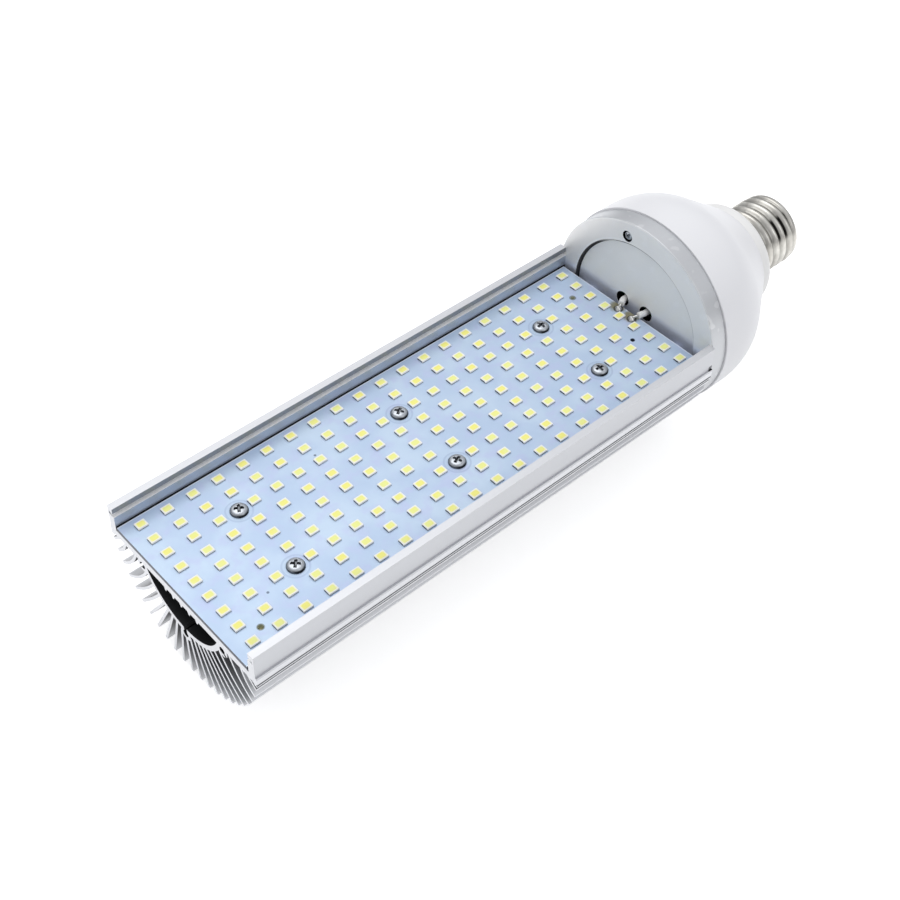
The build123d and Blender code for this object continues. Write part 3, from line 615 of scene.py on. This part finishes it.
def turned_piece(name, corners, material, slot, closed=True, sharp=32):
    """Corners of (x, radius, fillet) swept round the lamp's axis: y = r cos a, z = r sin a.

    The outline is closed, or its two ends lie on the axis.
    """
    outline = rounded([corner[:2] for corner in corners], [corner[2] for corner in corners])
    angle = np.linspace(0, 2 * math.pi, TURN_STEPS, endpoint=False)
    x, r = outline[:, :1], outline[:, 1:]
    points = np.stack([x + 0 * angle, r * np.cos(angle), r * np.sin(angle)], -1).reshape(-1, 3)
    faces = grid_faces(len(outline), TURN_STEPS, wrap_rows=closed, wrap_cols=True)
    new_piece(name + "_form", points, faces, material, slot, name, sharp)


def tube(path, radius, steps=24):
    """A round tube with flat ends along a path of points, and its faces."""
    along = np.gradient(path, axis=0)
    along /= np.linalg.norm(along, axis=1)[:, None]
    side = np.cross(along, (0, 0, 1))
    side /= np.linalg.norm(side, axis=1)[:, None]
    up = np.cross(side, along)
    angle = np.linspace(0, 2 * math.pi, steps, endpoint=False)[None, :, None]
    ring = side[:, None] * np.cos(angle) + up[:, None] * np.sin(angle)
    points = (path[:, None] + ring * radius).reshape(-1, 3)
    faces = grid_faces(len(path), steps, wrap_cols=True)
    faces.append(list(range(steps)))
    faces.append(list(range((len(path) - 1) * steps, len(path) * steps)))
    return points, faces


def joined(parts):
    """Several (points, faces) pairs as one."""
    points, faces, start = [], [], 0
    for some_points, some_faces in parts:
        points.append(some_points)
        faces += [[start + i for i in face] for face in some_faces]
        start += len(some_points)
    return np.vstack(points), faces


# Pieces

def led_spots():
    """Where each LED stands. Two rows give way to the screws."""
    row, col = np.meshgrid(np.arange(LED_ROWS), np.arange(LED_COLS), indexing="ij")
    step = np.where(np.isin(row, SCREW_ROWS), np.array(SCREW_ROW_STEPS)[None, :], col)
    y = LED_Y0 + LED_PITCH_Y * ((LED_ROWS - 1) / 2 - row)
    x = LED_X0 + LED_PITCH_X * step
    return np.stack([x, y, np.full(x.shape, BOARD_TOP)], -1).reshape(-1, 1, 3)


def repeated(points, faces, spots):
    """The same small form at every spot."""
    count = len(points)
    everywhere = (points[None] + spots).reshape(-1, 3)
    all_faces = [[i + count * n for i in face] for n in range(len(spots)) for face in faces]
    return everywhere, all_faces


def stacked(*rings):
    """Rectangles (length, width, z, cut) with cut corners, one over the other, and their faces."""
    points = []
    for length, width, z, cut in rings:
        a, b = length / 2, width / 2
        points += [(a, b - cut, z), (a - cut, b, z), (-a + cut, b, z), (-a, b - cut, z),
                   (-a, -b + cut, z), (-a + cut, -b, z), (a - cut, -b, z), (a, -b + cut, z)]
    faces = grid_faces(len(rings), 8, wrap_cols=True)
    faces.append(list(range(8)))
    faces.append(list(range(len(points) - 8, len(points))))
    return np.array(points), faces


def led_pieces(frame_material, phosphor_material):
    """Each package is a shallow tub with sloped inner walls, filled with phosphor gel."""
    spots = led_spots()
    tub = stacked((LED_L, LED_W, 0.0, 0.08), (LED_L, LED_W, LED_H - 0.1, 0.08),
                  (LED_L - 0.1, LED_W - 0.1, LED_H, 0.12), (2.9, 2.26, LED_H, 0.32),
                  (2.6, 2.0, LED_H - 0.2, 0.3))
    new_piece("led_package_forms", *repeated(*tub, spots), frame_material, "led_frame",
              "led_packages", sharp=20)
    gel = stacked((GEL_L, GEL_W, LED_H - 0.1, 0.32), (GEL_L, GEL_W, GEL_RIM_H, 0.32),
                  (2.2, 1.6, GEL_RIM_H + 0.04, 0.35), (1.2, 0.7, GEL_RIM_H + 0.05, 0.2))
    new_piece("led_phosphor_forms", *repeated(*gel, spots), phosphor_material,
              "led_phosphor", "led_phosphors")


def cross_head(head_r, height, shank_r, length, cross, arm_w, depth, turn):
    """A low domed head with a cross recess, standing on z = 0 with its shank below.

    The dome's height is 1 - 0.25 s^2 - 0.5 s^8 of its full one at the share s of its radius. The
    recess lowers it inside two bars at right angles, each a short slope wide.
    """
    rings, steps = 26, 72
    share = np.linspace(0, 1, rings)[:, None]
    a = np.linspace(0, 2 * math.pi, steps, endpoint=False)[None, :]
    r = share * head_r
    crown = height * (1 - 0.25 * share**2 - 0.5 * share**8)
    u, v = np.abs(r * np.cos(a - turn)), np.abs(r * np.sin(a - turn))
    arm, reach = np.minimum(u, v), np.maximum(u, v)
    inside = np.clip((arm_w / 2 + 0.07 - arm) / 0.14, 0, 1) * np.clip((cross - reach) / 0.35, 0, 1)
    z = crown - depth * inside * (1 - 0.35 * reach / cross)
    levels = [(r, z), (head_r, 0.0), (shank_r, 0.0), (shank_r, -length)]
    rows = [np.stack(np.broadcast_arrays(radius * np.cos(a), radius * np.sin(a), level), -1)
            for radius, level in levels]
    points = np.vstack([row.reshape(-1, 3) for row in rows])
    faces = grid_faces(rings + 3, steps, wrap_cols=True)
    faces.append(list(range((rings + 2) * steps, (rings + 3) * steps)))
    return points, faces


def board_screw_pieces(material):
    """Six pan-head screws, each with its cross at another angle."""
    parts = []
    for number, x in enumerate(BOARD_SCREW_X):
        for y in BOARD_SCREW_Y:
            turn = 0.6 + 1.1 * number + 0.7 * y
            points, faces = cross_head(**BOARD_SCREW, turn=turn)
            parts.append((points + (x, y, BOARD_TOP), faces))
    new_piece("board_screw_forms", *joined(parts), material, "screw_steel", "board_screws", 50)


def cap_screw_pieces(material):
    """Three screws that look out of the cap's counterbores."""
    parts = []
    for number, degrees in enumerate(CAP_SCREW_DEG):
        points, faces = cross_head(**CAP_SCREW, turn=0.6 + number)
        points = np.stack([-points[:, 2], points[:, 0], points[:, 1]], -1)
        a = math.radians(degrees)
        seat = (CAP_FACE_X + CAP_SCREW_SINK, CAP_SCREW_R * math.cos(a), CAP_SCREW_R * math.sin(a))
        parts.append((points + seat, faces))
    new_piece("cap_screw_forms", *joined(parts), material, "screw_steel", "cap_screws", 50)


def smooth_step(value, low, high):
    """0 below low, 1 above high and smooth between."""
    t = np.clip((value - low) / (high - low), 0, 1)
    return t * t * (3 - 2 * t)


def screw_shell_piece(material):
    """The rolled thread: the radius is a cosine of x less the angle round the axis, so the crest
    climbs one pitch a turn. It fades in past the plain band and out before the turned-in end."""
    last_x = SHELL_END - SHELL_BEND_R
    fade_x = SHELL_END - 3.4
    x = np.concatenate([np.linspace(0, 0.5, 4)[:-1], np.linspace(0.5, last_x, 150)])[:, None]
    a = np.linspace(0, 2 * math.pi, TURN_STEPS, endpoint=False)[None, :]
    depth = (SHELL_R - SHELL_ROOT_R) / 2
    phase = 2 * math.pi * (x - SHELL_BAND - SHELL_PITCH) / SHELL_PITCH - a
    strength = smooth_step(x, SHELL_BAND, SHELL_BAND + 1.8)
    strength = strength * (1 - smooth_step(x, fade_x, fade_x + 1.6))
    r = SHELL_R - depth * (1 - np.cos(phase)) * strength
    r = r - SHELL_DRAW_IN * smooth_step(x, fade_x, last_x)
    bend = np.linspace(0, math.pi / 2, 10)[1:, None]
    end_x = last_x + SHELL_BEND_R * np.sin(bend) + 0 * a
    end_r = r[-1:, :] - SHELL_BEND_R + SHELL_BEND_R * np.cos(bend)
    lip = np.ones((1, TURN_STEPS))
    outer_x = np.vstack([x + 0 * a, end_x, SHELL_END * lip])
    outer_r = np.vstack([r, end_r, SHELL_END_R * lip])
    turned_in = outer_x[::-1] > SHELL_END - 1
    inner_x = outer_x[::-1] - np.where(turned_in, SHELL_T, 0)
    all_x = np.vstack([outer_x, inner_x])
    all_r = np.vstack([outer_r, outer_r[::-1] - SHELL_T])
    points = np.stack([all_x, all_r * np.cos(a), all_r * np.sin(a)], -1).reshape(-1, 3)
    faces = grid_faces(len(all_x), TURN_STEPS, wrap_rows=True, wrap_cols=True)
    new_piece("screw_shell_form", points, faces, material, "shell_nickel", "screw_shell", 40)


def lead_pieces(white, bare):
    """Two insulated leads out of the cap, their bare tips, and the solder that holds them."""
    tips, joints = [], []
    for name, y, strip, pad in zip(LEAD_NAMES, LEAD_Y, LEAD_STRIPS, LEAD_PADS):
        turn = np.array((LEAD_TURN_X, y, LEAD_Z))
        end = np.array((*strip, LEAD_Z))
        path = rounded([(LEAD_CARD_X, y, LEAD_CARD_Z), (LEAD_LOW_X, y, LEAD_CARD_Z),
                        (LEAD_HIGH_X, y, LEAD_Z), turn, end], [0, 1.6, 1.6, 2.5, 0])
        new_piece(name + "_form", *tube(path, LEAD_R), white, "lead_insulation", name, 50)
        onward = (end - turn) / np.linalg.norm(end - turn)
        bare_path = rounded([end, end + 0.6 * onward, (*pad, BOARD_TOP + WIRE_R + 0.05)],
                            [0, 0.5, 0])
        tips.append(tube(bare_path, WIRE_R))
        joints.append(solder_blob(*pad))
    new_piece("lead_tip_forms", *joined(tips), bare, "solder", "lead_tips", 50)
    new_piece("solder_forms", *joined(joints), bare, "solder", "solder_joints", 50)


def solder_blob(x, y):
    """A dome of uneven outline: its height is (1 - s^2)^0.9 of the full one at the share s of its
    radius."""
    rings, steps = 16, 40
    s = np.linspace(0, 1, rings)[:, None]
    a = np.linspace(0, 2 * math.pi, steps, endpoint=False)[None, :]
    r = SOLDER_R * s * (1 + 0.05 * np.sin(3 * a + x) + 0.04 * np.sin(5 * a + y))
    z = SOLDER_H * (1 - s**2) ** 0.9 + 0.08 * np.sin(4 * a) * s * (1 - s)
    points = np.stack([x + r * np.cos(a), y + r * np.sin(a), BOARD_TOP + z], -1).reshape(-1, 3)
    faces = grid_faces(rings, steps, wrap_cols=True)
    faces.append(list(range((rings - 1) * steps, rings * steps)))
    return points, faces


def housing_corners():
    """The housing's outer and inner outline, from its seam at the cap to the neck."""
    run, rise = NECK_X - BULGE_X, BULGE_R - (HOUSING_R - NECK_R)
    slant = math.atan2(run, rise) - math.acos(BULGE_R / math.hypot(run, rise))

    def on_bulge(share, inset=0.0):
        r = BULGE_R - inset
        return (BULGE_X + r * math.sin(slant * share),
                HOUSING_R - BULGE_R + r * math.cos(slant * share), 0)

    inner_r = HOUSING_R - HOUSING_WALL
    corners = [(SEAM_X, HOUSING_R, 0.35)]
    corners += [on_bulge(share) for share in np.linspace(0, 1, 16)]
    corners += [(NECK_X, NECK_R, 0.15), (NECK_X, NECK_BORE_R, 0),
                (NECK_X - NECK_T, NECK_BORE_R, 0), (NECK_X - NECK_T, NECK_R - 0.5, 0)]
    corners += [on_bulge(share, HOUSING_WALL) for share in np.linspace(1, 0, 12)]
    corners += [(SEAM_X + 1.5, inner_r, 0), (SEAM_X + 1.5, SPIGOT_BORE_R, 0),
                (SPIGOT_X, SPIGOT_BORE_R, 0), (SPIGOT_X, SPIGOT_R, 0),
                (SEAM_X, SPIGOT_R, 0), (SEAM_X, HOUSING_R - 0.3, 0)]
    return corners


# The scene

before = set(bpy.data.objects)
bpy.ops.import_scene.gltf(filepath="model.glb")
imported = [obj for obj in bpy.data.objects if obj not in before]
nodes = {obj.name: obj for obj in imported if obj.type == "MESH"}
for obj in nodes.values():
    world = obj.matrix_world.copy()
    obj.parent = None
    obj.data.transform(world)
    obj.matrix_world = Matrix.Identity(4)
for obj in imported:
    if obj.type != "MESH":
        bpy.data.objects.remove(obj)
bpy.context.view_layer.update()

steel = screw_steel()
node_finishes = {
    "heat_sink": extruded_aluminium(),
    "led_board": board_mask(),
    "end_cap": cap_aluminium(),
    "sink_screws": steel,
    "driver_board": plain_piece("board_green", rgb(38, 96, 52), 0.0, 0.4),
    "transformer_winding": plain_piece("winding_tape", rgb(222, 186, 66), 0.0, 0.4),
    "transformer_core": plain_piece("ferrite", rgb(52, 52, 56), 0.1, 0.6, 0.03),
    "line_choke": plain_piece("choke_ferrite", rgb(58, 60, 58), 0.1, 0.6, 0.03),
    "input_capacitor": plain_piece("capacitor_sleeve", rgb(28, 30, 40), 0.0, 0.3),
    "output_capacitor": plain_piece("second_sleeve", rgb(30, 34, 48), 0.0, 0.3),
    "film_capacitor": plain_piece("film_body", rgb(170, 52, 38), 0.0, 0.3),
    "bridge_rectifier": plain_piece("rectifier_body", rgb(44, 44, 46), 0.0, 0.5),
    "fuse_resistor": plain_piece("fuse_body", rgb(110, 140, 160), 0.0, 0.45),
    "control_chip": plain_piece("chip_body", rgb(40, 40, 42), 0.0, 0.5),
    "live_lead": plain_piece("live_insulation", rgb(180, 40, 36), 0.0, 0.4),
    "neutral_lead": plain_piece("neutral_insulation", rgb(50, 80, 170), 0.0, 0.4),
}
for name, material in node_finishes.items():
    nodes[name].data.materials.clear()
    nodes[name].data.materials.append(material)

led_pieces(led_frame(), led_phosphor())
board_screw_pieces(steel)
cap_screw_pieces(steel)
screw_shell_piece(shell_nickel())
lead_pieces(plain_piece("lead_insulation", rgb(250, 250, 248), 0.0, 0.35),
            plain_piece("solder", rgb(206, 206, 203), 1.0, 0.16, 0.05))
turned_piece("driver_housing", housing_corners(),
             housing_plastic("housing_plastic", rgb(240, 240, 242)), "housing_plastic", sharp=24)
turned_piece("neck_collar", NECK_COLLAR,
             housing_plastic("collar_plastic", rgb(243, 242, 240)), "collar_plastic")
turned_piece("base_insulator", BASE_INSULATOR,
             plain_piece("insulator_moulding", rgb(30, 30, 32), 0.0, 0.35), "insulator_moulding")
turned_piece("centre_contact", CENTRE_CONTACT,
             plain_piece("contact_metal", rgb(196, 190, 176), 1.0, 0.3, 0.03), "contact_metal",
             closed=False)


def paper_floor(name, level):
    """A pale paper floor that the camera and reflections see as white, with its shadow kept."""
    material = bpy.data.materials.new(name)
    paper = Shader(material)
    rays = paper.node("ShaderNodeLightPath", output=None)
    seen = Value(paper, rays.outputs["Is Camera Ray"]).at_least(
        Value(paper, rays.outputs["Is Glossy Ray"]))
    diffuse = paper.node("ShaderNodeBsdfDiffuse", None, {"Color": (0.82, 0.82, 0.82, 1)})
    glow = paper.node("ShaderNodeEmission", None, {"Strength": seen * level})
    both = paper.node("ShaderNodeAddShader", None, {0: diffuse, 1: glow})
    paper.node("ShaderNodeOutputMaterial", None, {"Surface": both}, output=None)
    reach, down = 6.0, FLOOR_Z * MM
    mesh = bpy.data.meshes.new(name)
    mesh.from_pydata([(-reach, -reach, down), (reach, -reach, down), (reach, reach, down),
                      (-reach, reach, down)], [], [(0, 1, 2, 3)])
    mesh.materials.append(material)
    floor = bpy.data.objects.new(name, mesh)
    bpy.context.scene.collection.objects.link(floor)


def room_light(low, high, strength):
    """Soft room light from a low colour to a high one, which is plain white to the camera."""
    world = bpy.data.worlds.new("studio")
    bpy.context.scene.world = world
    room = Shader(world)
    up = room.parts(room.node("ShaderNodeTexCoord", output="Generated"))[2]
    shade = room.blend(room.between(up, 0.0, 0.6), low, high)
    glow = room.node("ShaderNodeBackground", None, {"Color": shade, "Strength": strength})
    white = room.node("ShaderNodeBackground", None, {"Color": (1, 1, 1, 1)})
    seen = room.node("ShaderNodeLightPath", output="Is Camera Ray")
    mixed = room.node("ShaderNodeMixShader", None, {0: seen, 1: glow, 2: white})
    room.node("ShaderNodeOutputWorld", None, {"Surface": mixed}, output=None)


def placed(thing, right, up, place):
    """Sets an object that looks along its own -Z by its right and up directions and its place."""
    matrix = np.identity(4)
    matrix[:3, :3] = np.stack([right, up, np.cross(right, up)], 1)
    matrix[:3, 3] = place
    thing.matrix_world = Matrix(matrix.tolist())
    bpy.context.scene.collection.objects.link(thing)


def soft_box(name, place, target, size, power):
    """A square area lamp that looks at a point. Places are in metres."""
    lamp = bpy.data.lights.new(name, "AREA")
    lamp.shape = "SQUARE"
    lamp.size = size
    lamp.energy = power
    back = np.array(place) - np.array(target)
    back = back / np.linalg.norm(back)
    right = np.cross((0, 1, 0), back)
    right = right / np.linalg.norm(right)
    placed(bpy.data.objects.new(name, lamp), right, np.cross(back, right), place)


paper_floor("floor_paper", 0.62)
room_light((0.40, 0.41, 0.43, 1), (0.86, 0.87, 0.90, 1), 0.86)
soft_box("overhead", (-0.1, 0.4, 1.1), (-0.1, 0, 0), 0.9, 4.0)
soft_box("from_the_right", (0.1, -1.0, 0.6), (-0.1, 0, 0), 0.7, 1.1)

camera_data = bpy.data.cameras.new("photograph")
camera_data.sensor_width = 36
camera_data.lens = CAMERA_LENS
camera_data.shift_x, camera_data.shift_y = CAMERA_SHIFT
camera_data.clip_start = 0.01
camera = bpy.data.objects.new("photograph", camera_data)
placed(camera, CAMERA_RIGHT, CAMERA_UP, np.array(CAMERA_AT) * MM)
bpy.context.scene.camera = camera
bpy.context.scene.view_settings.view_transform = "Standard"
